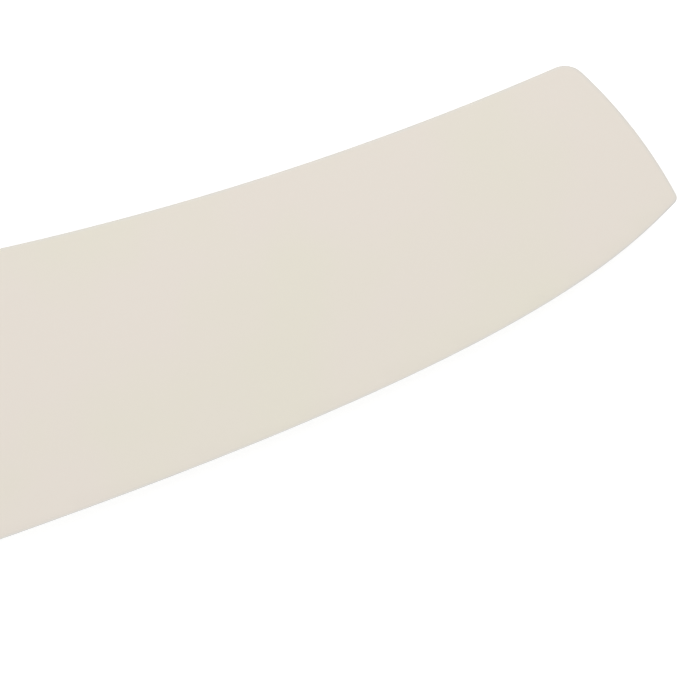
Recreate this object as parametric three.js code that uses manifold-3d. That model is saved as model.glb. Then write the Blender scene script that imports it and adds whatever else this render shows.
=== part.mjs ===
// Kitchen cleaver: a broad, upswept, coated blade on a full tang.
// Two liners and two handle scales are clamped to the tang by three two-piece rivets.
// Millimetres. The knife lies on its left scale: +X runs from butt to tip, +Y towards the spine, +Z up.
// The side view is drawn from the heel: X along the handle's axis, Y up from that axis, Z = 0 mid-blade.

import * as THREE from "three";
import { mergeVertices } from "three/addons/utils/BufferGeometryUtils.js";
import Module from "manifold-3d";

const wasm = await Module();
wasm.setup();

// Blade outline
const BLADE_LENGTH = 210; // heel to tip
const HEEL_DEPTH = 64.8; // heel below the handle's axis
const HEEL_ROUND = 1.5; // how far the heel's corner is eased
const TIP_DEPTH = 14.95; // tip below the handle's axis
const TIP_ROUND = 1.6; // how far the tip's corner is eased
const EDGE_HEEL_ANGLE = 6.3; // degrees that the cutting edge rises at the heel
const EDGE_HEEL_PULL = 155; // how long the edge holds that heading
const EDGE_TIP_ANGLE = 32.7; // degrees that it rises at the tip
const EDGE_TIP_PULL = 23.6; // how long it comes in on that heading
const SPINE_RADIUS = 840; // hollow curve of the spine
const SPINE_LOW_X = 32.7; // its lowest point, ahead of the heel
const SPINE_LOW_HEIGHT = 13.4; // and above the handle's axis
const SPINE_LENGTH = 189.4; // heel to the corner where spine and front edge meet
const FRONT_RADIUS = 131; // bulge of the blunt front edge
const CORNER_RADIUS = 6.7; // round between spine and front edge
const CHOIL_RADIUS = 10; // hollow behind the heel

// Blade section
const STOCK = 2.5; // thickness of the steel sheet
const GRIND_HEIGHT = 46; // the ground part of each side, up from the edge
const SHOULDER = 0.5; // thickness where the cutting bevel starts
const BEVEL_HEIGHT = 0.9; // height of the cutting bevel
const EDGE_THICKNESS = 0.08; // what is left at the very edge
const SPINE_EASE = 0.4; // the sheet's corners are broken by this much

// Handle outline
const HANDLE_LENGTH = 130; // heel to butt
const BACK_SETBACK = 13; // where the scales' round front leaves the back, behind the heel
const LIP_SETBACK = 19; // and where it leaves the belly
const LIP_DEPTH = 13.4; // belly at the front of the scales
const LIP_ANGLE = 22; // degrees that the belly falls towards the lip
const LIP_PULL = 9; // how long it falls
const GRIP_SETBACK = 47; // shallowest point of the finger grip, behind the heel
const GRIP_DEPTH = 11; // and below the handle's axis
const GRIP_PULL = 16; // how long the grip stays level, each way
const BACK_PULL = 44; // how long the back of the handle follows the spine's line
const BUTT_RADIUS = 13; // round butt
const BUTT_DROP = 5; // its centre below the handle's axis
const BUTT_TURN = 14; // degrees that back and belly lean in where they meet the butt
const BUTT_PULL = 22; // how long they lean

// Handle section
const LINER_THICKNESS = 0.8;
const SCALE_THICKNESS = 9.2;
const SCALE_ROUND = 5.6; // round along the outer edges of the scales
const FRONT_SPARE = 0.6; // how much wider the scales' front corners are than that round

// Rivets: a stud with a head on the right side, pressed into a headed sleeve on the left
const RIVET_NAMES = ["front", "middle", "rear"];
const RIVET_SETBACK = 29; // first rivet behind the heel
const RIVET_PITCH = 36;
const HEAD_DIAMETER = 8;
const HEAD_THICKNESS = 2.6;
const STUD_DIAMETER = 3.2;
const STUD_SHORT = 5.3; // how far the stud stops short of the sleeve's head
const SLEEVE_WALL = 0.8;
const SLEEVE_SHORT = 2.3; // how far the sleeve stops short of the stud's head
const BORE_SPARE = 0.6; // room in the sleeve past the stud's end
const RIVET_CLEARANCE = 0.1; // radial

// Smoothness of the model
const FACET_LENGTH = 5; // longest step along a curve
const FACET_TURN = 9; // degrees that a step turns at most
const CURVE_SAMPLES = 12; // where a curve's turning is looked at
const GRIND_STEPS = 64; // along the cutting edge
const ROUND_STEPS = 7; // across the scales' round and the grind
const EASE_STEPS = 1; // across the sheet's broken corners
const TURN_STEPS = 28; // round a rivet
const JOIN_GAP = 0.01; // points closer than this are one point
const CUT_MARGIN = 4; // how far cutters run past what they cut

const COATING = new THREE.MeshStandardMaterial({ color: 0xe4dcd0, roughness: 0.5, metalness: 0 });
const POLYMER = new THREE.MeshStandardMaterial({ color: 0x2b2a29, roughness: 0.6, metalness: 0 });
const FIBRE = new THREE.MeshStandardMaterial({ color: 0x8d8377, roughness: 0.8, metalness: 0 });
const STEEL = new THREE.MeshStandardMaterial({ color: 0xc9cac8, roughness: 0.3, metalness: 1 });

const at = (x, y) => new THREE.Vector2(x, y);
const heading = (degrees) => {
  const angle = THREE.MathUtils.degToRad(degrees);
  return at(Math.cos(angle), Math.sin(angle));
};
const along = (start, direction, length) => start.clone().addScaledVector(direction, length);
const angleFrom = (centre, point) => Math.atan2(point.y - centre.y, point.x - centre.x);

// Closed solids for cutting and joining

function solidOf(geometry) {
  const bare = geometry.clone();
  bare.deleteAttribute("normal");
  bare.deleteAttribute("uv");
  const merged = mergeVertices(bare);
  const corners = merged.index.array;
  const triangles = [];
  for (let i = 0; i < corners.length; i += 3) {
    const [a, b, c] = corners.slice(i, i + 3);
    if (a !== b && b !== c && c !== a) triangles.push(a, b, c);
  }
  const vertProperties = merged.attributes.position.array;
  const triVerts = new Uint32Array(triangles);
  return new wasm.Manifold(new wasm.Mesh({ numProp: 3, vertProperties, triVerts }));
}

function geometryOf(solid) {
  const { vertProperties, triVerts } = solid.getMesh();
  const geometry = new THREE.BufferGeometry();
  geometry.setAttribute("position", new THREE.BufferAttribute(vertProperties, 3));
  geometry.setIndex(new THREE.BufferAttribute(triVerts, 1));
  geometry.computeVertexNormals();
  return geometry;
}

// How many steps a curve needs, by its length and by how far it turns.
function stepsFor(curve) {
  if (curve.isLineCurve) return 1;
  const headings = Array.from({ length: CURVE_SAMPLES + 1 }, (_, i) => curve.getTangent(i / CURVE_SAMPLES));
  const bends = headings.slice(1).map((next, i) => Math.abs(headings[i].angleTo(next)));
  const turn = THREE.MathUtils.radToDeg(bends.reduce((sum, bend) => sum + bend, 0));
  return Math.ceil(Math.max(turn / FACET_TURN, curve.getLength() / FACET_LENGTH));
}

// The outline that a path draws, without the doubled points where one curve hands over to the next.
function outlineOf(path) {
  const points = path.curves.flatMap((curve) => curve.getSpacedPoints(stepsFor(curve)));
  return new THREE.Shape(points.filter((point, i) => point.distanceTo(points.at(i - 1)) > JOIN_GAP));
}

// A flat plate of the given outline between two heights.
function plate(outline, bottom, top) {
  const options = { depth: top - bottom, bevelEnabled: false };
  return solidOf(new THREE.ExtrudeGeometry(outline, options).translate(0, 0, bottom));
}

// A body of the given outline, centred on the middle of the blade, with its outer corners rounded off.
function roundedBody(outline, thickness, round, steps) {
  const options = {
    depth: thickness - 2 * round,
    bevelSize: round,
    bevelOffset: -round,
    bevelThickness: round,
    bevelSegments: steps,
  };
  return solidOf(new THREE.ExtrudeGeometry(outline, options).translate(0, 0, round - thickness / 2));
}

// A solid of revolution about Z, from [radius, height] pairs that run from axis to axis.
function turned(profile) {
  const points = profile.map(([radius, height]) => at(radius, height));
  return solidOf(new THREE.LatheGeometry(points, TURN_STEPS).rotateX(Math.PI / 2));
}

// Where two circles cross: the crossing on the left of the line from the first centre to the second.
function circlesCross(centreA, radiusA, centreB, radiusB) {
  const apart = centreB.clone().sub(centreA);
  const distance = apart.length();
  const forward = (distance ** 2 + radiusA ** 2 - radiusB ** 2) / (2 * distance);
  const sideways = Math.sqrt(radiusA ** 2 - forward ** 2);
  const unit = apart.divideScalar(distance);
  return along(along(centreA, unit, forward), at(-unit.y, unit.x), sideways);
}

// Side view of the blade

const tip = at(BLADE_LENGTH, -TIP_DEPTH);
const heel = at(0, -HEEL_DEPTH);
const spineCentre = at(SPINE_LOW_X, SPINE_LOW_HEIGHT + SPINE_RADIUS);
const onSpine = (x) => at(x, spineCentre.y - Math.sqrt(SPINE_RADIUS ** 2 - (x - spineCentre.x) ** 2));

// The front edge is an arc from the tip to the spine's corner, with its centre inside the blade.
function frontArcCentre() {
  const corner = onSpine(SPINE_LENGTH);
  const chord = corner.clone().sub(tip);
  const middle = along(tip, chord, 0.5);
  const inward = at(-chord.y, chord.x).normalize();
  return along(middle, inward, Math.sqrt(FRONT_RADIUS ** 2 - chord.lengthSq() / 4));
}
const frontCentre = frontArcCentre();
const cornerCentre = circlesCross(
  spineCentre,
  SPINE_RADIUS + CORNER_RADIUS,
  frontCentre,
  FRONT_RADIUS - CORNER_RADIUS,
);

// The cutting edge rises gently from the heel and sweeps up to the tip.
const edgeStart = along(heel, heading(EDGE_HEEL_ANGLE), HEEL_ROUND);
const edgeEnd = along(tip, heading(EDGE_TIP_ANGLE), -TIP_ROUND);
const cuttingEdge = new THREE.CubicBezierCurve(
  edgeStart,
  along(edgeStart, heading(EDGE_HEEL_ANGLE), EDGE_HEEL_PULL),
  along(edgeEnd, heading(EDGE_TIP_ANGLE), -EDGE_TIP_PULL),
  edgeEnd,
);

function drawCuttingEdge(path) {
  path.moveTo(edgeStart.x, edgeStart.y);
  const { v1, v2, v3 } = cuttingEdge;
  path.bezierCurveTo(v1.x, v1.y, v2.x, v2.y, v3.x, v3.y);
}

function drawFrontAndSpine(path) {
  const tipAngle = angleFrom(frontCentre, tip) + TIP_ROUND / FRONT_RADIUS;
  const cornerAngle = angleFrom(frontCentre, cornerCentre);
  const spineAngle = angleFrom(spineCentre, cornerCentre);
  const frontStart = along(frontCentre, at(Math.cos(tipAngle), Math.sin(tipAngle)), FRONT_RADIUS);
  path.quadraticCurveTo(tip.x, tip.y, frontStart.x, frontStart.y);
  path.absarc(frontCentre.x, frontCentre.y, FRONT_RADIUS, tipAngle, cornerAngle);
  path.absarc(cornerCentre.x, cornerCentre.y, CORNER_RADIUS, cornerAngle, spineAngle + Math.PI);
  const handleAngle = angleFrom(spineCentre, scaleTop);
  path.absarc(spineCentre.x, spineCentre.y, SPINE_RADIUS, spineAngle, handleAngle, true);
}

function drawChoilAndHeel(path) {
  const choilCentre = at(-CHOIL_RADIUS, -LIP_DEPTH - CHOIL_RADIUS);
  path.absarc(choilCentre.x, choilCentre.y, CHOIL_RADIUS, Math.PI / 2, 0, true);
  path.lineTo(heel.x, heel.y + HEEL_ROUND);
  path.quadraticCurveTo(heel.x, heel.y, edgeStart.x, edgeStart.y);
}

// Side view of the handle, shared by tang, liners and scales

const scaleTop = onSpine(-BACK_SETBACK);
const scaleLip = at(-LIP_SETBACK, -LIP_DEPTH);
const backHeading = THREE.MathUtils.radToDeg(angleFrom(spineCentre, scaleTop)) + 270;
const grip = at(-GRIP_SETBACK, -GRIP_DEPTH);
const buttCentre = at(BUTT_RADIUS - HANDLE_LENGTH, -BUTT_DROP);

// The back runs on from the spine, rounds the butt and returns along the belly to the lip.
function drawHandle(path) {
  const backEnd = along(buttCentre, heading(90 + BUTT_TURN), BUTT_RADIUS);
  const bellyStart = along(buttCentre, heading(-90 + BUTT_TURN), BUTT_RADIUS);
  const backHold = along(scaleTop, heading(backHeading), BACK_PULL);
  const backLean = along(backEnd, heading(180 + BUTT_TURN), -BUTT_PULL);
  path.bezierCurveTo(backHold.x, backHold.y, backLean.x, backLean.y, backEnd.x, backEnd.y);

  const turnStart = THREE.MathUtils.degToRad(90 + BUTT_TURN);
  const turnEnd = THREE.MathUtils.degToRad(270 + BUTT_TURN);
  path.absarc(buttCentre.x, buttCentre.y, BUTT_RADIUS, turnStart, turnEnd);

  const bellyLean = along(bellyStart, heading(BUTT_TURN), BUTT_PULL);
  path.bezierCurveTo(bellyLean.x, bellyLean.y, grip.x - GRIP_PULL, grip.y, grip.x, grip.y);
  const lipLean = along(scaleLip, heading(-LIP_ANGLE), -LIP_PULL);
  path.bezierCurveTo(grip.x + GRIP_PULL, grip.y, lipLean.x, lipLean.y, scaleLip.x, scaleLip.y);
}

// The front: two equal rounds, one at the lip and one at the back, and the line that touches both.
function drawHandleFront(path) {
  const radius = SCALE_ROUND + FRONT_SPARE;
  const lipTurn = -90 - LIP_ANGLE;
  const backTurn = backHeading - 90;
  const lipCentre = along(scaleLip, heading(lipTurn), -radius);
  const backCentre = along(scaleTop, heading(backTurn), -radius);
  const facing = angleFrom(lipCentre, backCentre) - Math.PI / 2;
  path.absarc(lipCentre.x, lipCentre.y, radius, THREE.MathUtils.degToRad(lipTurn), facing);
  path.absarc(backCentre.x, backCentre.y, radius, facing, THREE.MathUtils.degToRad(backTurn));
}

function handleOutline() {
  const outline = new THREE.Path();
  drawHandleFront(outline);
  drawHandle(outline);
  return outlineOf(outline);
}

function bladeOutline() {
  const outline = new THREE.Path();
  drawCuttingEdge(outline);
  drawFrontAndSpine(outline);
  drawHandle(outline);
  drawChoilAndHeel(outline);
  return outlineOf(outline);
}

// Rivet places: evenly spaced along the handle, midway between back and belly.
function rivetPlaces() {
  const rim = handleOutline().getPoints();
  return RIVET_NAMES.map((name, index) => {
    const x = -RIVET_SETBACK - index * RIVET_PITCH;
    const heights = [];
    rim.forEach((start, i) => {
      const end = rim[(i + 1) % rim.length];
      const crosses = (start.x - x) * (end.x - x) <= 0 && start.x !== end.x;
      if (crosses) heights.push(start.y + ((x - start.x) / (end.x - start.x)) * (end.y - start.y));
    });
    return { name, x, y: (Math.max(...heights) + Math.min(...heights)) / 2 };
  });
}
const rivets = rivetPlaces();

// Heights of the layers, each mirrored about the middle of the blade
const tangFace = STOCK / 2;
const linerFace = tangFace + LINER_THICKNESS;
const scaleFace = linerFace + SCALE_THICKNESS;
const headSeat = scaleFace - HEAD_THICKNESS;

// Radii of a rivet, from the inside out
const studRadius = STUD_DIAMETER / 2;
const boreRadius = studRadius + RIVET_CLEARANCE;
const sleeveRadius = boreRadius + SLEEVE_WALL;
const headRadius = HEAD_DIAMETER / 2;

// The room for one rivet through the whole handle: a clear hole with a wider seat for each head.
function rivetRoom({ x, y }) {
  const hole = sleeveRadius + RIVET_CLEARANCE;
  const seat = headRadius + RIVET_CLEARANCE;
  const outside = scaleFace + CUT_MARGIN;
  const profile = [
    [0, -outside],
    [seat, -outside],
    [seat, -headSeat],
    [hole, -headSeat],
    [hole, headSeat],
    [seat, headSeat],
    [seat, outside],
    [0, outside],
  ];
  return turned(profile).translate(x, y, 0);
}

const drilled = (solid) => rivets.reduce((rest, rivet) => rest.subtract(rivetRoom(rivet)), solid);

// Blade: a sheet cut to outline, then ground on both sides along the cutting edge.

// The waste on one side, seen along the edge: from past the edge, up the bevel and the convex grind, a
// parabola that runs out flat at the grind's height.
function wasteSection(side) {
  const section = new THREE.Shape();
  const outside = STOCK / 2 + CUT_MARGIN;
  const knee = (BEVEL_HEIGHT + GRIND_HEIGHT) / 2;
  const corner = (height, above) => [-side * height, above];
  section.moveTo(...corner(EDGE_THICKNESS / 2, -CUT_MARGIN));
  section.lineTo(...corner(EDGE_THICKNESS / 2, 0));
  section.lineTo(...corner(SHOULDER / 2, BEVEL_HEIGHT));
  section.quadraticCurveTo(...corner(STOCK / 2, knee), ...corner(STOCK / 2, GRIND_HEIGHT));
  section.lineTo(...corner(outside, GRIND_HEIGHT));
  section.lineTo(...corner(outside, -CUT_MARGIN));
  return section;
}

// The edge as a path in space, run on straight past heel and tip so that the grind leaves the sheet.
function grindPath() {
  const lift = (p) => new THREE.Vector3(p.x, p.y, 0);
  const { v0, v1, v2, v3 } = cuttingEdge;
  const before = along(v0, heading(EDGE_HEEL_ANGLE), -HEEL_ROUND - CUT_MARGIN);
  const after = along(v3, heading(EDGE_TIP_ANGLE), TIP_ROUND + GRIND_HEIGHT);
  const path = new THREE.CurvePath();
  path.add(new THREE.LineCurve3(lift(before), lift(v0)));
  path.add(new THREE.CubicBezierCurve3(lift(v0), lift(v1), lift(v2), lift(v3)));
  path.add(new THREE.LineCurve3(lift(v3), lift(after)));
  return path;
}

function grindWaste(side) {
  const options = { steps: GRIND_STEPS, extrudePath: grindPath(), curveSegments: ROUND_STEPS };
  return solidOf(new THREE.ExtrudeGeometry(wasteSection(side), options));
}

function bladeGeometry() {
  const sheet = roundedBody(bladeOutline(), STOCK, SPINE_EASE, EASE_STEPS);
  const tang = plate(handleOutline(), -tangFace, tangFace);
  const ground = sheet.add(tang).subtract(grindWaste(1)).subtract(grindWaste(-1));
  return geometryOf(drilled(ground));
}

// Liners: thin sheets of the handle's outline between tang and scales.
function linerGeometry(side) {
  const [bottom, top] = side > 0 ? [tangFace, linerFace] : [-linerFace, -tangFace];
  return geometryOf(drilled(plate(handleOutline(), bottom, top)));
}

// Scales: the outer layers of one rounded handle body.
function scaleGeometry(side) {
  const body = roundedBody(handleOutline(), 2 * scaleFace, SCALE_ROUND, ROUND_STEPS);
  const { min, max } = body.boundingBox();
  const half = new THREE.BoxGeometry(
    max[0] - min[0] + 2 * CUT_MARGIN,
    max[1] - min[1] + 2 * CUT_MARGIN,
    SCALE_THICKNESS + CUT_MARGIN,
  );
  const height = side * (linerFace + (SCALE_THICKNESS + CUT_MARGIN) / 2);
  half.translate((min[0] + max[0]) / 2, (min[1] + max[1]) / 2, height);
  return geometryOf(drilled(body.intersect(solidOf(half))));
}

// Rivet halves, drawn about their own axis
const studEnd = STUD_SHORT - headSeat;

function studGeometry() {
  const profile = [
    [0, studEnd],
    [studRadius, studEnd],
    [studRadius, headSeat],
    [headRadius, headSeat],
    [headRadius, scaleFace],
    [0, scaleFace],
  ];
  return geometryOf(turned(profile));
}

function sleeveGeometry() {
  const rim = headSeat - SLEEVE_SHORT;
  const boreFloor = studEnd - BORE_SPARE;
  const profile = [
    [0, -scaleFace],
    [headRadius, -scaleFace],
    [headRadius, -headSeat],
    [sleeveRadius, -headSeat],
    [sleeveRadius, rim],
    [boreRadius, rim],
    [boreRadius, boreFloor],
    [0, boreFloor],
  ];
  return geometryOf(turned(profile));
}

// Assembly

const knife = new THREE.Group();

function addPiece(name, geometry, material, place = { x: 0, y: 0 }) {
  const piece = new THREE.Mesh(geometry, material);
  piece.name = name;
  piece.position.set(place.x, place.y, 0);
  knife.add(piece);
}

addPiece("blade", bladeGeometry(), COATING);
addPiece("right_liner", linerGeometry(1), FIBRE);
addPiece("left_liner", linerGeometry(-1), FIBRE);
addPiece("right_scale", scaleGeometry(1), POLYMER);
addPiece("left_scale", scaleGeometry(-1), POLYMER);
rivets.forEach((rivet) => {
  addPiece(`${rivet.name}_rivet_stud`, studGeometry(), STEEL, rivet);
  addPiece(`${rivet.name}_rivet_sleeve`, sleeveGeometry(), STEEL, rivet);
});

// The origin is on the surface that the knife lies on, under the middle of its outline.
const extent = new THREE.Box3().setFromObject(knife);
const middle = extent.getCenter(new THREE.Vector3());
knife.position.set(-middle.x, -middle.y, -extent.min.z);

const cleaver = new THREE.Group();
cleaver.add(knife);

export default cleaver;
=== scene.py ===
# %% [markdown]
# # A kitchen cleaver with a coated blade
# The knife is a stack of flat things. One sheet of steel is blade and tang at once, two thin fibre
# liners lie on the tang, two moulded scales lie on the liners, and three two-piece rivets clamp the
# stack. The solids of that stack are loaded here as a fixed frame. This lesson takes every outline,
# height and place from them and makes each piece again, with the soft corners and the surfaces that a
# camera sees.

# %% Load the frame
import math

import bmesh
import bpy
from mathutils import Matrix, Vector
from mathutils.geometry import intersect_point_line


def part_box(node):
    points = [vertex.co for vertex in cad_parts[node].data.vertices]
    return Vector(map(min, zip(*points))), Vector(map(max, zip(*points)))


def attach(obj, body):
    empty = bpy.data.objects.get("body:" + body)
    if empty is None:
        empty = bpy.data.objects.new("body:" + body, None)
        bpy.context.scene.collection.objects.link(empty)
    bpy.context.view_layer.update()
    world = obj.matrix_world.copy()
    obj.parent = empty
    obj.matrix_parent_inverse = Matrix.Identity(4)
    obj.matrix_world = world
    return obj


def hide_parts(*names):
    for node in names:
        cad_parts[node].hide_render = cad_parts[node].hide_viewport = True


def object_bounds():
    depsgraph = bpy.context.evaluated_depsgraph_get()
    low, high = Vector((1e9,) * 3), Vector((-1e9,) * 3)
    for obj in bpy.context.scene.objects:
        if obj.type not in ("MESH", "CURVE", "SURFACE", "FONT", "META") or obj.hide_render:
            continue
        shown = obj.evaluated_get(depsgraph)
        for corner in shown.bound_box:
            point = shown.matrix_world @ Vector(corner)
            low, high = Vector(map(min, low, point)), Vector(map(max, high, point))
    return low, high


MM = 0.001
CM3 = (10 * MM) ** 3

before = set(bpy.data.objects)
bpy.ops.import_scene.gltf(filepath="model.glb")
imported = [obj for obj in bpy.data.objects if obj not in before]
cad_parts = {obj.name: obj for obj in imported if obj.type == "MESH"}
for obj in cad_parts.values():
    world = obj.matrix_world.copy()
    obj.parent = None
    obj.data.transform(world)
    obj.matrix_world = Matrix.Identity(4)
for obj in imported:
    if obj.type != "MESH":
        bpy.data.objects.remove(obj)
cad_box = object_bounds()
cad_size = [round(side / MM, 1) for side in cad_box[1] - cad_box[0]]
print("frame:", len(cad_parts), "solids in a box of", cad_size, "mm")

# %% [markdown]
# ## Camera
# The photograph is taken square on to the flat of the blade, so the camera hangs straight above the
# knife and looks down. An orthographic camera would do, but a long lens a good way off is what a
# photographer uses, and it keeps the sides of the sheet out of sight too. Three facts measured in the
# photograph place it: how many of its pixels a millimetre of blade takes, which point of the knife lies
# in its middle, and how far the knife is turned. The distance then follows from the lens by similar
# triangles.

# %% Hang the camera over the blade
PHOTO_PIXELS = 700
PIXELS_PER_MM = 3.67
PHOTO_MIDDLE = (73.69 * MM, -16.33 * MM)
BLADE_CLIMB = math.radians(13)
LENS = 135
SENSOR = 36

blade_low, blade_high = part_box("blade")
blade_middle = (blade_low.z + blade_high.z) / 2
view_width = PHOTO_PIXELS / PIXELS_PER_MM * MM
view_distance = view_width * LENS / SENSOR

camera_data = bpy.data.cameras.new("over_the_blade")
camera_data.lens = LENS
camera_data.sensor_width = SENSOR
camera = bpy.data.objects.new("over_the_blade", camera_data)
camera.location = (*PHOTO_MIDDLE, blade_middle + view_distance)
camera.rotation_euler = (0, 0, -BLADE_CLIMB)
bpy.context.scene.collection.objects.link(camera)
bpy.context.scene.camera = camera
print("camera:", round(view_distance, 3), "m above the blade, seeing", round(view_width / MM, 1), "mm")

# %% [markdown]
# ## Lookers and light
# A catalogue picture has a white background. Surroundings that are white for every ray would pour too
# much light on a pale blade, so they are white only to look at. The Light Path node tells the two uses
# apart: it knows whether a ray comes straight from the camera, or by way of a shiny or clear surface, or
# only carries light. Surroundings and floor both need the answer, so a function builds these nodes. The
# view transform is Standard, so that white stays white and a colour comes out as it is written.

# %% Tell lookers from light


def wire(tree, source, output, target, plug):
    """Links one node's output to another node's input."""
    tree.links.new(source.outputs[output], target.inputs[plug])


def arithmetic(tree, operation):
    """A Math node."""
    node = tree.nodes.new("ShaderNodeMath")
    node.operation = operation
    return node


def seen_directly(tree):
    """A node that gives 1 to camera, mirror and glass rays, and 0 to rays that only carry light."""
    rays = tree.nodes.new("ShaderNodeLightPath")
    mirror = arithmetic(tree, "MAXIMUM")
    glass = arithmetic(tree, "MAXIMUM")
    wire(tree, rays, "Is Camera Ray", mirror, 0)
    wire(tree, rays, "Is Glossy Ray", mirror, 1)
    wire(tree, mirror, "Value", glass, 0)
    wire(tree, rays, "Is Transmission Ray", glass, 1)
    return glass


bpy.context.scene.view_settings.view_transform = "Standard"
print("view transform:", bpy.context.scene.view_settings.view_transform)

# %% [markdown]
# ## Light tent
# Pale goods are photographed in a tent of white cloth, which lights them evenly from all round. The
# world is that tent: one plain Background for light, one for looks, and a Mix Shader that picks between
# them. A picture of a studio wrapped round the scene could do the same, but plain white needs no file.
# As a source of light the tent is dimmer than white, because lamps will add to it.

# %% Put up the light tent
TENT_LIGHT = 0.6
WHITE = (1, 1, 1, 1)


def light_tent():
    """The surroundings: white to look at, and dimmer as a source of light."""
    world = bpy.data.worlds.new("light_tent")
    world.use_nodes = True
    tree = world.node_tree
    tree.nodes.clear()
    glow = tree.nodes.new("ShaderNodeBackground")
    glow.inputs["Color"].default_value = WHITE
    glow.inputs["Strength"].default_value = TENT_LIGHT
    sight = tree.nodes.new("ShaderNodeBackground")
    sight.inputs["Color"].default_value = WHITE
    either = tree.nodes.new("ShaderNodeMixShader")
    output = tree.nodes.new("ShaderNodeOutputWorld")
    wire(tree, seen_directly(tree), "Value", either, 0)
    wire(tree, glow, "Background", either, 1)
    wire(tree, sight, "Background", either, 2)
    wire(tree, either, "Shader", output, "Surface")
    return world


bpy.context.scene.world = light_tent()
print("tent: white to look at, lights at", TENT_LIGHT)

# %% [markdown]
# ## Floor
# The knife lies on a pale matt sheet. To the camera the lit sheet should pass for the white of the tent,
# and yet show a shadow. So the floor glows a little by itself, for rays that look at it, and its lit
# paint adds the rest. Where the knife keeps the light off, only the glow is left, and that is the
# shadow. The floor lies a hair below the knife, because two faces in one plane would flicker.

# %% Lay the pale floor
FLOOR_PAINT = (0.5, 0.5, 0.495, 1)
FLOOR_GLOW = 0.73
FLOOR_RADIUS = 4
FLOOR_SIDES = 96
FLOOR_DROP = 0.05 * MM


def floor_finish():
    """Matt paint, and a glow that only lookers see."""
    finish = bpy.data.materials.new("pale_floor")
    finish.use_nodes = True
    tree = finish.node_tree
    tree.nodes.clear()
    paint = tree.nodes.new("ShaderNodeBsdfDiffuse")
    paint.inputs["Color"].default_value = FLOOR_PAINT
    strength = arithmetic(tree, "MULTIPLY")
    strength.inputs[1].default_value = FLOOR_GLOW
    glow = tree.nodes.new("ShaderNodeEmission")
    both = tree.nodes.new("ShaderNodeAddShader")
    output = tree.nodes.new("ShaderNodeOutputMaterial")
    wire(tree, seen_directly(tree), "Value", strength, 0)
    wire(tree, strength, "Value", glow, "Strength")
    wire(tree, paint, "BSDF", both, 0)
    wire(tree, glow, "Emission", both, 1)
    wire(tree, both, "Shader", output, "Surface")
    return finish


floor_shape = bmesh.new()
bmesh.ops.create_circle(floor_shape, cap_ends=True, segments=FLOOR_SIDES, radius=FLOOR_RADIUS)
bmesh.ops.translate(floor_shape, verts=floor_shape.verts[:], vec=(0, 0, cad_box[0].z - FLOOR_DROP))
floor_mesh = bpy.data.meshes.new("pale_floor")
floor_shape.to_mesh(floor_mesh)
floor_shape.free()
floor_mesh.materials.append(floor_finish())
floor = bpy.data.objects.new("pale_floor", floor_mesh)
bpy.context.scene.collection.objects.link(floor)
print("floor:", FLOOR_RADIUS, "m in radius")

# %% [markdown]
# ## Lamps
# Light from all round alone would leave the handle without a form. Two large soft lamps give it a
# bright side and a darker side. Small lamps could do so too, but their shadows would be hard. The lamps
# stand low enough that the level blade doesn't mirror them up into the camera. Their power is set so
# that tent and lamps together render a level surface in the colour that its finish is given.

# %% Hang two soft lamps
LAMP_SIZE = 1.5


def soft_lamp(name, place, watts):
    """A large square lamp that faces the middle of the knife."""
    data = bpy.data.lights.new(name, "AREA")
    data.energy = watts
    data.size = LAMP_SIZE
    lamp = bpy.data.objects.new(name, data)
    lamp.location = place
    lamp.rotation_euler = (-Vector(place)).to_track_quat("-Z", "Y").to_euler()
    bpy.context.scene.collection.objects.link(lamp)


soft_lamp("key_lamp", place=(0, 0.9, 1.2), watts=10.3)
soft_lamp("fill_lamp", place=(0.3, -1.3, 0.9), watts=4.9)
print("lamps:", [lamp.name for lamp in bpy.data.lights])

# %% [markdown]
# ## Outlines
# Every flat piece is a closed outline with a thickness. Drawing the outline again by hand would risk a
# mismatch, so it is cut from the solid: a copy of the node's mesh is sliced at half its height, and the
# ring that the cut leaves is filled. Slicing crosses the diagonals of the solid's triangles, so a
# limited dissolve takes out the points that this leaves on straight stretches. Points that lie almost on
# top of each other are merged too, because a bevel can't follow an edge far shorter than itself.

# %% Slice an outline from a solid
WELD = 0.002 * MM
SHORTEST = 0.08 * MM
STRAIGHT = math.radians(0.1)


def cut_outline(node):
    """The outer outline of a CAD node at half its height, as one face that looks up."""
    low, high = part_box(node)
    shape = bmesh.new()
    shape.from_mesh(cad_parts[node].data)
    bmesh.ops.remove_doubles(shape, verts=shape.verts[:], dist=WELD)
    bmesh.ops.bisect_plane(
        shape,
        geom=shape.verts[:] + shape.edges[:] + shape.faces[:],
        plane_co=(low + high) / 2,
        plane_no=(0, 0, 1),
        clear_inner=True,
        clear_outer=True,
    )
    bmesh.ops.dissolve_limit(shape, angle_limit=STRAIGHT, verts=shape.verts[:], edges=shape.edges[:])
    bmesh.ops.remove_doubles(shape, verts=shape.verts[:], dist=SHORTEST)
    rings = bmesh.ops.edgeloop_fill(shape, edges=shape.edges[:])["faces"]
    outline = max(rings, key=lambda face: face.calc_area())
    holes = [vert for vert in shape.verts if outline not in vert.link_faces]
    bmesh.ops.delete(shape, geom=holes, context="VERTS")
    outline.normal_update()
    if outline.normal.z < 0:
        outline.normal_flip()
    return shape


def outline_points(node):
    """The points of a CAD node's outline, in order."""
    shape = cut_outline(node)
    points = [vert.co.xy.copy() for vert in shape.faces[:][0].verts]
    shape.free()
    return points


blade_outline = outline_points("blade")
handle_outline = outline_points("right_liner")
print("outlines: blade", len(blade_outline), "points, handle", len(handle_outline), "points")

# %% [markdown]
# ## From facets to curves
# The solids draw a curve as short straight facets, and a close look at a rim would show their corners. A
# subdivision surface would smooth them, but it would also round the corners that are meant. So each
# facet of a gentle bend is split in two, and the new point moves out to the arc that the facet stands
# for. The height of an arc over its chord is the chord squared, times the curvature, divided by eight.
# Curvature is how far a line turns per length of it. Facets that are fine already, long stretches and
# sharp corners are left as they are.

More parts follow.
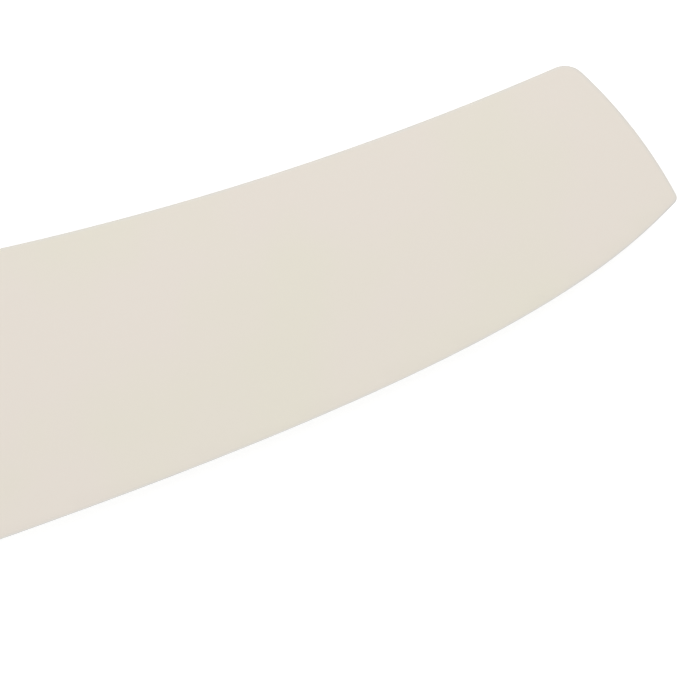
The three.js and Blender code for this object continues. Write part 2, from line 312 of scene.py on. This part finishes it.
# %% Curve an outline
FINE_FACET = 1.5 * MM
LONGEST_FACET = 6 * MM
GENTLE_TURN = math.radians(15)
CURVE_ROUNDS = 2
UP = Vector((0, 0, 1))


def curvature(before, here, after):
    """How far a line turns per length at a point: left turns are positive, sharp corners are 0."""
    coming, going = here - before, after - here
    turn = going.xy.angle_signed(coming.xy)
    return 2 * turn / (coming.length + going.length) if abs(turn) < GENTLE_TURN else 0


def arc_move(loop):
    """How the middle of an outline's facet moves to lie on the facet's arc."""
    ends = loop, loop.link_loop_next
    chord = ends[1].vert.co - ends[0].vert.co
    first, second = (
        curvature(end.link_loop_prev.vert.co, end.vert.co, end.link_loop_next.vert.co) for end in ends
    )
    if not FINE_FACET < chord.length < LONGEST_FACET or first * second <= 0:
        return Vector((0, 0, 0))
    bend = min(first, second, key=abs)
    return chord.cross(UP).normalized() * chord.length_squared * bend / 8


def curve_outline(shape):
    """Splits the facets of an outline's gentle bends, and moves the new points out to the arc."""
    for _ in range(CURVE_ROUNDS):
        moves = {loop.edge: arc_move(loop) for loop in shape.faces[:][0].loops}
        for edge, move in moves.items():
            if move.length:
                middle = bmesh.utils.edge_split(edge, edge.verts[0], 0.5)[1]
                middle.co += move


curved = cut_outline("right_liner")
curve_outline(curved)
print("handle's outline:", len(handle_outline), "points before,", len(curved.verts), "points after")
curved.free()

# %% [markdown]
# ## Blade: the sheet
# The blade is stamped from sheet steel, so it starts as a plain plate: its outline, extruded to the
# thickness of the sheet. A Solidify modifier could thicken it too, but the extrude operator says which
# face is the new one: it leaves the first face as one side, makes the walls and hands back a copy of the
# face, which is then moved to the other side. Liners and scales will start in the same way.

# %% Extrude the sheet


def plate(node, start, end):
    """A plate of a CAD node's outline between two heights."""
    shape = cut_outline(node)
    curve_outline(shape)
    bmesh.ops.translate(shape, verts=shape.verts[:], vec=(0, 0, start - shape.verts[:][0].co.z))
    grown = bmesh.ops.extrude_face_region(shape, geom=shape.faces[:])["geom"]
    moved = [item for item in grown if isinstance(item, bmesh.types.BMVert)]
    bmesh.ops.translate(shape, verts=moved, vec=(0, 0, end - start))
    bmesh.ops.recalc_face_normals(shape, faces=shape.faces[:])
    return shape


blade_shape = plate("blade", blade_low.z, blade_high.z)
print("sheet:", len(blade_shape.faces), "faces,", round(blade_shape.calc_volume() / CM3, 1), "cm3")

# %% [markdown]
# ## Blade: eased rims
# A sheet with raw corners would bite the hand, so all of them are eased. A Bevel modifier would come
# last and ease every later cut as well, so the bevel operator does it now, while each side is still one
# large face. An inset then draws a second line inside each rim, where the cutting bevel will start.
# Along the rest of the blade that line keeps the shading of the flats from bending over the rim. The
# points of the rims are noted in an attribute, so that a finish can tell rim from flat.

# %% Ease the rims
EASE = 0.4 * MM
EASE_STEPS = 3
BEVEL_HEIGHT = 0.9 * MM
QUAD_CORNERS = 4


def rim_edges(shape, *heights):
    """The edges of a plate that lie at the given heights."""
    return [
        edge
        for edge in shape.edges
        if any(all(abs(vert.co.z - height) < WELD for vert in edge.verts) for height in heights)
    ]


def round_rims(shape, edges, radius, steps, margin):
    """Rounds rims of a plate, draws a line inside the flats that they bound, and notes what is rim."""
    rim = shape.verts.layers.float.new("rim")
    rounded = bmesh.ops.bevel(
        shape,
        geom=edges,
        offset=radius,
        offset_type="OFFSET",
        affect="EDGES",
        segments=steps,
        profile=0.5,
        material=-1,
        clamp_overlap=False,
    )
    on_rim = set(rounded["verts"])
    # Walls and rims are quads, so a face with more corners that touches a rim is a flat.
    many_sided = [face for face in shape.faces if len(face.verts) > QUAD_CORNERS]
    flats = [face for face in many_sided if on_rim.intersection(face.verts)]
    bmesh.ops.inset_individual(shape, faces=flats, thickness=margin, use_even_offset=True)
    for vert in shape.verts:
        vert[rim] = vert in on_rim


blade_rims = rim_edges(blade_shape, blade_low.z, blade_high.z)
print("rims:", len(blade_rims), "edges, eased by", EASE / MM, "mm")
round_rims(blade_shape, blade_rims, EASE, EASE_STEPS, BEVEL_HEIGHT - EASE)

# %% [markdown]
# ## Blade: the cutting edge
# The grind is measured from the cutting edge, so that edge has to be known as a line. Its points could
# be typed in, but a line that is found on the outline always fits it. Going round the outline from the
# heel, its lowest point, to the tip, its farthest, gives the edge with a rounded corner at each end.
# Points are dropped there until the line no longer turns sharply. The line is then run on straight, as a
# grinding wheel runs on past the ends of a blade.

# %% Find the cutting edge
CORNER_TURN = math.radians(4)
HEEL_RUN_ON = 200 * MM
TIP_RUN_ON = 80 * MM


def turning(points):
    """How sharply a line through three points turns at the middle one."""
    first, middle, last = points
    return abs((middle - first).angle_signed(last - middle))


def cutting_edge(around):
    """The cutting edge from heel to tip, run on straight past both."""
    heel = around.index(min(around, key=lambda point: point.y))
    from_heel = around[heel:] + around[:heel]
    tip = from_heel.index(max(around, key=lambda point: point.x))
    line = from_heel[: tip + 1]
    while turning(line[:3]) > CORNER_TURN:
        line.pop(0)
    while turning(line[-3:]) > CORNER_TURN:
        line.pop()
    before = (line[0] - line[1]).normalized() * HEEL_RUN_ON
    after = (line[-1] - line[-2]).normalized() * TIP_RUN_ON
    return [line[0] + before, *line, line[-1] + after]


edge_line = cutting_edge(blade_outline)
edge_length = sum((end - start).length for start, end in zip(edge_line[1:-1], edge_line[2:-1]))
print("cutting edge:", len(edge_line) - 2, "points,", round(edge_length / MM, 1), "mm long")

# %% [markdown]
# ## Blade: the section
# The sheet is ground thin towards the edge on both sides. In section it keeps its full thickness down to
# the grind line, follows a parabola from there to the shoulder, and ends in a straight bevel that leaves
# less than a tenth of a millimetre. A drawn curve could hold that, but a formula answers for any point:
# half the thickness at a distance from the edge. The distance is measured square to the edge line, so
# the grind follows the sweep of the blade.

# %% Measure from the edge
GRIND_HEIGHT = 46 * MM
SHOULDER_HALF = 0.25 * MM
EDGE_HALF = 0.04 * MM

half_stock = (blade_high.z - blade_low.z) / 2


def distance(line, point):
    """How far a point lies from a line of straight stretches."""
    gaps = []
    for start, end in zip(line, line[1:]):
        share = intersect_point_line(point, start, end)[1]
        foot = start.lerp(end, min(max(share, 0), 1))
        gaps.append((point - foot).length)
    return min(gaps)


def half_thickness(depth):
    """Half the blade's thickness at a distance from the cutting edge."""
    if depth < BEVEL_HEIGHT:
        return EDGE_HALF + (SHOULDER_HALF - EDGE_HALF) * depth / BEVEL_HEIGHT
    still_ground = max(GRIND_HEIGHT - depth, 0) / (GRIND_HEIGHT - BEVEL_HEIGHT)
    return half_stock - (half_stock - SHOULDER_HALF) * still_ground**2


for depth in (0, BEVEL_HEIGHT, GRIND_HEIGHT / 2, GRIND_HEIGHT):
    print(f"{depth / MM:.1f} mm from the edge: {2 * half_thickness(depth) / MM:.2f} mm thick")

# %% [markdown]
# ## Blade: the grind
# A large flat face can't bend, so both sides are first cut into small squares with a row of bisecting
# planes along each axis. Then the blade is ground in one go: each point's height above or below the
# middle of the sheet is scaled by what the section leaves at its place. A sculpted surface could look
# the same, but the formula puts the thickness exactly where the solid has it.

# %% Slice and grind
SLICE = 5 * MM
SLICE_SNAP = 0.3 * MM


def slice_up(shape, axis):
    """Cuts a shape into equal slices across one axis."""
    low, high = blade_low[axis], blade_high[axis]
    count = math.ceil((high - low) / SLICE)
    across = Vector((0, 0, 0))
    across[axis] = 1
    for step in range(1, count):
        bmesh.ops.bisect_plane(
            shape,
            geom=shape.verts[:] + shape.edges[:] + shape.faces[:],
            dist=SLICE_SNAP,
            plane_co=across * (low + (high - low) * step / count),
            plane_no=across,
        )


slice_up(blade_shape, 0)
slice_up(blade_shape, 1)
for vert in blade_shape.verts:
    left = half_thickness(distance(edge_line, vert.co.xy)) / half_stock
    vert.co.z = blade_middle + (vert.co.z - blade_middle) * left
blade_shape.normal_update()
print("ground:", len(blade_shape.faces), "faces,", round(blade_shape.calc_volume() / CM3, 1), "cm3")

# %% [markdown]
# ## Node groups
# Several finishes share an effect, such as soft patches of colour or a fine grain. Copies of its nodes
# in every material would soon drift apart, so each effect is a node group: a small tree with named
# inputs and outputs, built once and placed in each material with its own values. These helpers make an
# empty group and the nodes that most groups need.

# %% Make groups and their nodes
COLOUR = "NodeSocketColor"
NUMBER = "NodeSocketFloat"
VECTOR = "NodeSocketVector"
FULL_SPAN = (0, 1)
NOISE_SPAN = (0.3, 0.7)


def new_group(name, inputs, outputs):
    """An empty shader node group with named sockets, and its two end nodes."""
    group = bpy.data.node_groups.new(name, "ShaderNodeTree")
    for socket, kind in inputs.items():
        group.interface.new_socket(socket, in_out="INPUT", socket_type=kind)
    for socket, kind in outputs.items():
        group.interface.new_socket(socket, in_out="OUTPUT", socket_type=kind)
    return group, group.nodes.new("NodeGroupInput"), group.nodes.new("NodeGroupOutput")


def noise(tree, detail, roughness):
    """A noise texture with the given fineness."""
    texture = tree.nodes.new("ShaderNodeTexNoise")
    texture.inputs["Detail"].default_value = detail
    texture.inputs["Roughness"].default_value = roughness
    return texture


def spread(tree, old_span, new_span):
    """A Map Range node from one span of values to another."""
    node = tree.nodes.new("ShaderNodeMapRange")
    for plug, value in zip(("From Min", "From Max", "To Min", "To Max"), (*old_span, *new_span)):
        node.inputs[plug].default_value = value
    return node


def blend_colours(tree):
    """A Mix node for colours."""
    node = tree.nodes.new("ShaderNodeMix")
    node.data_type = "RGBA"
    return node


print("most noise lies in", NOISE_SPAN, "and is spread to", FULL_SPAN)

# %% [markdown]
# ## Shared effect: clouding
# No coating, plastic or fibre is one even colour. Its tone drifts between two neighbours in soft
# patches. A painted image could hold them, but each piece would first have to be unwrapped. A noise
# texture on Object coordinates needs no unwrapping. These are metres on the knife, so a scale of 100
# makes patches about a centimetre wide, and they stay where they are when the camera moves.

# %% Build the clouding group
PATCH_SPAN = (0.45, 0.7)


def clouding_group():
    """Two tones of a colour in soft patches."""
    inputs = {"First Tone": COLOUR, "Second Tone": COLOUR, "Scale": NUMBER}
    group, start, end = new_group("clouding", inputs, {"Color": COLOUR})
    place = group.nodes.new("ShaderNodeTexCoord")
    patches = noise(group, detail=2, roughness=0.5)
    share = spread(group, PATCH_SPAN, FULL_SPAN)
    blend = blend_colours(group)
    wire(group, place, "Object", patches, "Vector")
    wire(group, start, "Scale", patches, "Scale")
    wire(group, patches, "Fac", share, "Value")
    wire(group, share, "Result", blend, "Factor")
    wire(group, start, "First Tone", blend, "A")
    wire(group, start, "Second Tone", blend, "B")
    wire(group, blend, "Result", end, "Color")
    return group


CLOUDING = clouding_group()
print("node group:", CLOUDING.name, "with", len(CLOUDING.nodes), "nodes")

# %% [markdown]
# ## Shared effect: fine grain
# Sprayed, moulded and sanded surfaces all have a fine even grain, which breaks up what they mirror. As
# geometry it would take millions of faces, so a noise texture is the height of the grain, for a Bump
# node to use. A second one, about eight times wider, makes some places a little glossier than others.
# Both follow one scale, so a finish only has to say how fine it is.

# %% Build the grain group
GLOSS_SHARE = 0.12


def grain_group():
    """A fine even roughness: its height, and a wider unevenness for the gloss."""
    outputs = {"Height": NUMBER, "Unevenness": NUMBER}
    group, start, end = new_group("fine_grain", {"Scale": NUMBER}, outputs)
    place = group.nodes.new("ShaderNodeTexCoord")
    grain = noise(group, detail=2, roughness=0.6)
    wider = arithmetic(group, "MULTIPLY")
    wider.inputs[1].default_value = GLOSS_SHARE
    waves = noise(group, detail=3, roughness=0.6)
    even = spread(group, NOISE_SPAN, FULL_SPAN)
    wire(group, place, "Object", grain, "Vector")
    wire(group, place, "Object", waves, "Vector")
    wire(group, start, "Scale", grain, "Scale")
    wire(group, start, "Scale", wider, 0)
    wire(group, wider, "Value", waves, "Scale")
    wire(group, waves, "Fac", even, "Value")
    wire(group, grain, "Fac", end, "Height")
    wire(group, even, "Result", end, "Unevenness")
    return group


GRAIN = grain_group()
print("node group:", GRAIN.name, "with", len(GRAIN.nodes), "nodes")

# %% [markdown]
# ## Shared effect: worn rims
# A coating draws back from a corner while it dries, and hands rub the corners of a handle first. So the
# tone of a finish changes along the rims. The Geometry node's Pointiness could find corners, but what it
# finds depends on how fine the mesh is. The attribute that was noted on the rims is exact. A noise
# texture breaks it up, because wear is never even.

# %% Build the rim wear group
WEAR_SCALE = 140
WEAR_SPAN = (0.35, 0.65)
WEAR_AMOUNT = (0.4, 1)


def rim_wear_group():
    """Mixes a worn tone into a colour along the rims of a piece."""
    inputs = {"Color": COLOUR, "Worn Tone": COLOUR, "Strength": NUMBER}
    group, start, end = new_group("rim_wear", inputs, {"Color": COLOUR})
    rim = group.nodes.new("ShaderNodeAttribute")
    rim.attribute_name = "rim"
    place = group.nodes.new("ShaderNodeTexCoord")
    rubbing = noise(group, detail=4, roughness=0.6)
    rubbing.inputs["Scale"].default_value = WEAR_SCALE
    uneven = spread(group, WEAR_SPAN, WEAR_AMOUNT)
    where = arithmetic(group, "MULTIPLY")
    amount = arithmetic(group, "MULTIPLY")
    blend = blend_colours(group)
    wire(group, place, "Object", rubbing, "Vector")
    wire(group, rubbing, "Fac", uneven, "Value")
    wire(group, rim, "Fac", where, 0)
    wire(group, uneven, "Result", where, 1)
    wire(group, where, "Value", amount, 0)
    wire(group, start, "Strength", amount, 1)
    wire(group, amount, "Value", blend, "Factor")
    wire(group, start, "Color", blend, "A")
    wire(group, start, "Worn Tone", blend, "B")
    wire(group, blend, "Result", end, "Color")
    return group


RIM_WEAR = rim_wear_group()
print("node group:", RIM_WEAR.name, "with", len(RIM_WEAR.nodes), "nodes")

# %% [markdown]
# ## Shared effect: grinding marks
# A belt leaves hair-fine scratches that all run one way. A noise texture looks like that once its
# coordinates are stretched: multiplied by thousands across the scratches, and by far less along them.
# The shader's anisotropy could hint at them, but it shows only in what the steel mirrors. The edge and
# the rivets are ground in different directions, so the stretch is an input of the group.

# %% Build the grinding marks group


def grinding_marks_group():
    """Fine scratches: their height, and their wear for the gloss."""
    outputs = {"Height": NUMBER, "Wear": NUMBER}
    group, start, end = new_group("grinding_marks", {"Stretch": VECTOR}, outputs)
    place = group.nodes.new("ShaderNodeTexCoord")
    stretched = group.nodes.new("ShaderNodeVectorMath")
    stretched.operation = "MULTIPLY"
    scratches = noise(group, detail=3, roughness=0.65)
    scratches.inputs["Scale"].default_value = 1
    wear = spread(group, NOISE_SPAN, FULL_SPAN)
    wire(group, place, "Object", stretched, 0)
    wire(group, start, "Stretch", stretched, 1)
    wire(group, stretched, "Vector", scratches, "Vector")
    wire(group, scratches, "Fac", wear, "Value")
    wire(group, scratches, "Fac", end, "Height")
    wire(group, wear, "Result", end, "Wear")
    return group


GRINDING_MARKS = grinding_marks_group()
print("node group:", GRINDING_MARKS.name, "with", len(GRINDING_MARKS.nodes), "nodes")

# %% [markdown]
# ## From groups to finishes
# A finish is a material. Its heart is the Principled shader, and the groups are plugged into it: a
# colour into Base Color, a height by way of a Bump node into Normal, and an unevenness, spread over a
# narrow span, into Roughness. What is the same all over, such as Metallic, is set on the shader itself.

# %% Plug groups into a shader


def new_finish(name):
    """A material, its node tree and its shader."""
    finish = bpy.data.materials.new(name)
    finish.use_nodes = True
    return finish, finish.node_tree, finish.node_tree.nodes["Principled BSDF"]


def place_group(tree, group, values):
    """One use of a node group in a finish, with its own values."""
    node = tree.nodes.new("ShaderNodeGroup")
    node.node_tree = group
    for plug, value in values.items():
        node.inputs[plug].default_value = value
    return node


def raise_surface(tree, source, shader, strength, depth):
    """Bumps a shader's surface by a group's Height."""
    bump = tree.nodes.new("ShaderNodeBump")
    bump.inputs["Strength"].default_value = strength
    bump.inputs["Distance"].default_value = depth
    wire(tree, source, "Height", bump, "Height")
    wire(tree, bump, "Normal", shader, "Normal")


def vary_gloss(tree, source, output, shader, roughness):
    """Lets a shader's roughness follow a group's output between two values."""
    span = spread(tree, FULL_SPAN, roughness)
    wire(tree, source, output, span, "Value")
    wire(tree, span, "Result", shader, "Roughness")


print("groups to plug in:", [group.name for group in bpy.data.node_groups])

# %% [markdown]
# ## Finish: cream coating
# The blade wears a thin cream coating, baked on like enamel, with a satin gloss. It hides the steel, so
# it is made as a paint, with Metallic left at 0, and not as a clear coat over metal. Its two tones are
# close neighbours, one a little pinker and one a little yellower. Its skin is slightly uneven, as
# sprayed coatings are, and it thins to a greyer tone on the rims. Plastic and fibre are built alike, so
# one function makes all of these finishes.

# %% Mix the cream coating


def grained_finish(name, tones, patch_scale, grain_scale, bump, roughness, worn=None):
    """A coating, plastic or fibre: clouded colour, fine grain, uneven gloss and maybe worn rims.

    bump is a strength and a depth, roughness its least and most, and worn a tone and a strength.
    """
    finish, tree, shader = new_finish(name)
    clouds = {"First Tone": tones[0], "Second Tone": tones[1], "Scale": patch_scale}
    colour = place_group(tree, CLOUDING, clouds)
    if worn:
        rims = place_group(tree, RIM_WEAR, {"Worn Tone": worn[0], "Strength": worn[1]})
        wire(tree, colour, "Color", rims, "Color")
        colour = rims
    grain = place_group(tree, GRAIN, {"Scale": grain_scale})
    wire(tree, colour, "Color", shader, "Base Color")
    raise_surface(tree, grain, shader, *bump)
    vary_gloss(tree, grain, "Unevenness", shader, roughness)
    return finish


cream_coating = grained_finish(
    "cream_coating",
    tones=[(0.788, 0.727, 0.652, 1), (0.777, 0.735, 0.634, 1)],
    patch_scale=26,
    grain_scale=1500,
    bump=(0.12, 0.03 * MM),
    roughness=(0.38, 0.48),
    worn=[(0.72, 0.7, 0.65, 1), 0.7],
)
print("finish:", cream_coating.name, "with", len(cream_coating.node_tree.nodes), "nodes")

# %% [markdown]
# ## Finish: bare steel
# Steel shows where the coating ends. It is a metal, so its colour is the colour of what it mirrors, and
# its gloss tells it from the satin coating. Its scratches run along the rim of the sheet, so it is the
# height that is stretched most.

# %% Mix the bare steel
STEEL_BUMP = (0.25, 0.02 * MM)


def ground_finish(name, colour, stretch, roughness):
    """Bare steel with grinding marks."""
    finish, tree, shader = new_finish(name)
    shader.inputs["Base Color"].default_value = colour
    shader.inputs["Metallic"].default_value = 1
    marks = place_group(tree, GRINDING_MARKS, {"Stretch": stretch})
    raise_surface(tree, marks, shader, *STEEL_BUMP)
    vary_gloss(tree, marks, "Wear", shader, roughness)
    return finish


bare_steel = ground_finish(
    "bare_edge_steel",
    colour=(0.53, 0.525, 0.51, 1),
    stretch=(260, 260, 5200),
    roughness=(0.26, 0.42),
)
print("finish:", bare_steel.name, "with", len(bare_steel.node_tree.nodes), "nodes")

# %% [markdown]
# ## Blade: where the coating ends
# The coating goes down over the cutting bevel. Only two places are bare: the honed line at the very
# edge, where a stone has taken it off, and the rim of the tang, which is ground flush with the liners
# and scales after the handle is put together. A mask in the nodes would blur the border, so the faces
# get the other material themselves. Both kinds can be found by how far they lie from a line.

# %% Lay the coating
HONED = 0.2 * MM
LEVEL = 0.95
COATED, BARE = 0, 1

handle_ring = [*handle_outline, handle_outline[0]]
for face in blade_shape.faces:
    middle = face.calc_center_median().xy
    honed = distance(edge_line, middle) < HONED
    tang_rim = abs(face.normal.z) < LEVEL and distance(handle_ring, middle) < EASE
    face.material_index = BARE if honed or tang_rim else COATED
print("bare faces:", sum(face.material_index == BARE for face in blade_shape.faces))

# %% [markdown]
# ## Turned shapes
# Rivets are turned on a lathe, and so is a drill bit. A profile of radii and heights is drawn on one
# side of an axis, and the spin operator takes it once round. Its last copy falls on the first one, so
# these are merged. A stack of cylinders could stand in for it, but would leave faces inside.

# %% Turn a profile
TURN_STEPS = 72
RIVET_NAMES = ("front", "middle", "rear")


def rivet_place(name):
    """The middle of a rivet, seen from above."""
    low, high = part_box(f"{name}_rivet_stud")
    return (low + high).xy / 2


def turn(shape, profile, place):
    """Spins a profile of (radius, height) pairs once round an upright axis."""
    points = [shape.verts.new((place.x + radius, place.y, height)) for radius, height in profile]
    line = [shape.edges.new(pair) for pair in zip(points, points[1:])]
    bmesh.ops.spin(
        shape,
        geom=points + line,
        cent=(place.x, place.y, 0),
        axis=(0, 0, 1),
        angle=math.tau,
        steps=TURN_STEPS,
        use_merge=True,
    )
    bmesh.ops.remove_doubles(shape, verts=shape.verts[:], dist=WELD)
    bmesh.ops.recalc_face_normals(shape, faces=shape.faces[:])


print("rivets at:", [[round(side / MM, 1) for side in rivet_place(name)] for name in RIVET_NAMES], "mm")

# %% [markdown]
# ## Holes
# Holes come last, as on a bench: the finished sheet is drilled. Holes in the outline would work too, but
# every bevel and slice would run into them. A Boolean modifier subtracts the turned drill bits, and is
# applied on the spot by taking the evaluated mesh. The bits run past both faces, because two faces in
# one plane are what a Boolean does worst.

# %% Drill a piece
SLEEVE_RADIUS = 2.5 * MM
CLEARANCE = 0.1 * MM
HOLE_RADIUS = SLEEVE_RADIUS + CLEARANCE
OVERRUN = 2 * MM


def drill(piece, profile):
    """Cuts a turned profile out of a piece at each rivet."""
    bits = bmesh.new()
    for name in RIVET_NAMES:
        turn(bits, profile, rivet_place(name))
    mesh = bpy.data.meshes.new("drill_bits")
    bits.to_mesh(mesh)
    bits.free()
    tool = bpy.data.objects.new("drill_bits", mesh)
    bpy.context.scene.collection.objects.link(tool)
    cut = piece.modifiers.new("drill", "BOOLEAN")
    cut.operation = "DIFFERENCE"
    cut.solver = "EXACT"
    cut.object = tool
    drilled = bpy.data.meshes.new_from_object(piece.evaluated_get(bpy.context.evaluated_depsgraph_get()))
    drilled.name = piece.name
    piece.modifiers.clear()
    piece.data = drilled
    bpy.data.objects.remove(tool)


clear_hole = [
    (0, blade_low.z - OVERRUN),
    (HOLE_RADIUS, blade_low.z - OVERRUN),
    (HOLE_RADIUS, blade_high.z + OVERRUN),
    (0, blade_high.z + OVERRUN),
]
print("holes:", round(2 * HOLE_RADIUS / MM, 1), "mm wide")

# %% [markdown]
# ## From shape to piece
# A shape becomes a piece in four moves. It is made an object with its finishes, it is drilled if it has
# holes, it gets smooth shading, and it is tied to the frame: it rides on the knife and stands for its
# solid. Smooth shading hides the facets of curves. Where faces meet at a real corner, or where two
# finishes meet, the edge is marked sharp.

# %% Make the coated blade
SHARP_CORNER = math.radians(32)


def shade(mesh):
    """Smooths all but corners and borders of finishes. Returns the volume and how many edges are open."""
    shape = bmesh.new()
    shape.from_mesh(mesh)
    for face in shape.faces:
        face.smooth = True
    for edge in shape.edges:
        finishes = {face.material_index for face in edge.link_faces}
        edge.smooth = edge.calc_face_angle(0) < SHARP_CORNER and len(finishes) == 1
    shape.to_mesh(mesh)
    volume = shape.calc_volume()
    loose = sum(not edge.is_manifold for edge in shape.edges)
    shape.free()
    return volume, loose


def make_piece(name, shape, node, finishes, hole=None):
    """Turns a finished shape into a piece that rides on the knife and stands for its CAD node."""
    mesh = bpy.data.meshes.new(name)
    shape.to_mesh(mesh)
    shape.free()
    for finish in finishes:
        mesh.materials.append(finish)
    piece = bpy.data.objects.new(name, mesh)
    bpy.context.scene.collection.objects.link(piece)
    if hole:
        drill(piece, hole)
    volume, loose = shade(piece.data)
    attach(piece, "root")
    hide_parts(node)
    print(f"{name}: {len(piece.data.polygons)} faces, {volume / CM3:.2f} cm3, {loose} open edges")


make_piece("coated_blade", blade_shape, "blade", [cream_coating, bare_steel], clear_hole)

# %% [markdown]
# ## Liners
# A liner is a thin sheet of pressed fibre on each face of the tang. It takes up small unevenness between
# steel and scale, and shows as a fine stripe round the handle. It could be a painted stripe on the
# scale, but a sheet of its own has a seam on either side, as the real one has. It is the handle's
# outline, as thick as the solid's box says. Sanding has left it matt, and its colour is mottled by the
# fibres, so its patches are small.

# %% Cut the liners
sanded_fibre = grained_finish(
    "sanded_fibre",
    tones=[(0.25, 0.21, 0.17, 1), (0.31, 0.27, 0.22, 1)],
    patch_scale=420,
    grain_scale=2600,
    bump=(0.3, 0.04 * MM),
    roughness=(0.62, 0.78),
)
for side in ("right", "left"):
    low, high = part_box(f"{side}_liner")
    liner = plate(f"{side}_liner", low.z, high.z)
    make_piece(f"{side}_fibre_liner", liner, f"{side}_liner", [sanded_fibre], clear_hole)

# %% [markdown]
# ## Scales: the finish
# The scales are a charcoal polymer, moulded in a blasted mould, so their grain is deeper than the
# coating's and their gloss is dull. Their tone hardly drifts. The rounds, where a hand slides along, are
# rubbed a shade lighter than the flats.

# %% Mix the charcoal polymer
charcoal_polymer = grained_finish(
    "charcoal_polymer",
    tones=[(0.013, 0.0128, 0.0125, 1), (0.019, 0.0186, 0.018, 1)],
    patch_scale=70,
    grain_scale=2600,
    bump=(0.6, 0.09 * MM),
    roughness=(0.42, 0.54),
    worn=[(0.03, 0.0295, 0.0285, 1), 0.6],
)
print("finish:", charcoal_polymer.name, "with", len(charcoal_polymer.node_tree.nodes), "nodes")

# %% [markdown]
# ## Scales: the shape
# The scales are what the hand holds. They are ground to the same outline as the liners under them and
# rounded well over along the outside. A subdivided box could be pushed into that shape, but its sides
# would no longer meet the liners' outline. So it is the sheet's own recipe again: a plate whose rim is
# rounded, now only on one side, with a larger radius and more steps. Each rivet's head sits in a seat
# with a lightly broken mouth, which the drill bit has in its profile.

# %% Shape the scales
SCALE_ROUND = 5.6 * MM
ROUND_STEPS = 14
FLAT_MARGIN = 0.5 * MM
HEAD_THICKNESS = 2.6 * MM
SEAT_BREAK = 0.12 * MM


def head_radius(low, high):
    """The radius of a rivet's head, from the box of the rivet's half."""
    return (high.x - low.x) / 2


def seated_hole(inner, outer):
    """The hole through a scale, from its inner to its outer face, with a seat for the rivet's head."""
    out = math.copysign(1, outer - inner)
    seat = head_radius(*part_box("front_rivet_stud")) + CLEARANCE
    return [
        (0, inner - out * OVERRUN),
        (HOLE_RADIUS, inner - out * OVERRUN),
        (HOLE_RADIUS, outer - out * HEAD_THICKNESS),
        (seat, outer - out * HEAD_THICKNESS),
        (seat, outer - out * SEAT_BREAK),
        (seat + SEAT_BREAK + OVERRUN, outer + out * OVERRUN),
        (0, outer + out * OVERRUN),
    ]


for side in ("right", "left"):
    low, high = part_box(f"{side}_scale")
    inner, outer = (low.z, high.z) if side == "right" else (high.z, low.z)
    scale = plate(f"{side}_liner", inner, outer)
    round_rims(scale, rim_edges(scale, outer), SCALE_ROUND, ROUND_STEPS, FLAT_MARGIN)
    hole = seated_hole(inner, outer)
    make_piece(f"{side}_handle_scale", scale, f"{side}_scale", [charcoal_polymer], hole)

# %% [markdown]
# ## Rivets: the studs
# Each rivet has two halves. A headed stud from the right is pressed into a headed sleeve from the left,
# so nothing but two bright discs shows. A stud is turned from its end up to its head. The head's rim is
# chamfered: that thin ring catches the light and tells metal from paint. The heads are ground flush
# along the handle, so their scratches run lengthwise.

# %% Turn the studs
HEAD_CHAMFER = 0.25 * MM
END_CHAMFER = 0.3 * MM
STUD_RADIUS = 1.6 * MM

rivet_steel = ground_finish(
    "ground_rivet_steel",
    colour=(0.47, 0.465, 0.45, 1),
    stretch=(260, 5200, 260),
    roughness=(0.22, 0.4),
)


def stud_profile(low, high):
    """From the stud's end up to its head."""
    head = head_radius(low, high)
    seat = high.z - HEAD_THICKNESS
    return [
        (0, low.z),
        (STUD_RADIUS - END_CHAMFER, low.z),
        (STUD_RADIUS, low.z + END_CHAMFER),
        (STUD_RADIUS, seat),
        (head, seat),
        (head, high.z - HEAD_CHAMFER),
        (head - HEAD_CHAMFER, high.z),
        (0, high.z),
    ]


for name in RIVET_NAMES:
    stud = bmesh.new()
    turn(stud, stud_profile(*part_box(f"{name}_rivet_stud")), rivet_place(name))
    make_piece(f"{name}_stud", stud, f"{name}_rivet_stud", [rivet_steel])

# %% [markdown]
# ## Rivets: the sleeves
# A sleeve is the other half: the same head, upside down, on a tube that the stud slides into. Its
# profile goes from the head up the outside of the tube, over its mouth and down the bore, to a floor a
# little past the stud's end.

# %% Turn the sleeves
BORE_RADIUS = STUD_RADIUS + CLEARANCE
BORE_SPARE = 0.6 * MM


def sleeve_profile(low, high, stud_end):
    """From the sleeve's head up to its mouth, and down its bore."""
    head = head_radius(low, high)
    seat = low.z + HEAD_THICKNESS
    return [
        (0, low.z),
        (head - HEAD_CHAMFER, low.z),
        (head, low.z + HEAD_CHAMFER),
        (head, seat),
        (SLEEVE_RADIUS, seat),
        (SLEEVE_RADIUS, high.z),
        (BORE_RADIUS, high.z),
        (BORE_RADIUS, stud_end - BORE_SPARE),
        (0, stud_end - BORE_SPARE),
    ]


for name in RIVET_NAMES:
    low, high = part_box(f"{name}_rivet_sleeve")
    stud_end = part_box(f"{name}_rivet_stud")[0].z
    sleeve = bmesh.new()
    turn(sleeve, sleeve_profile(low, high, stud_end), rivet_place(name))
    make_piece(f"{name}_sleeve", sleeve, f"{name}_rivet_sleeve", [rivet_steel])
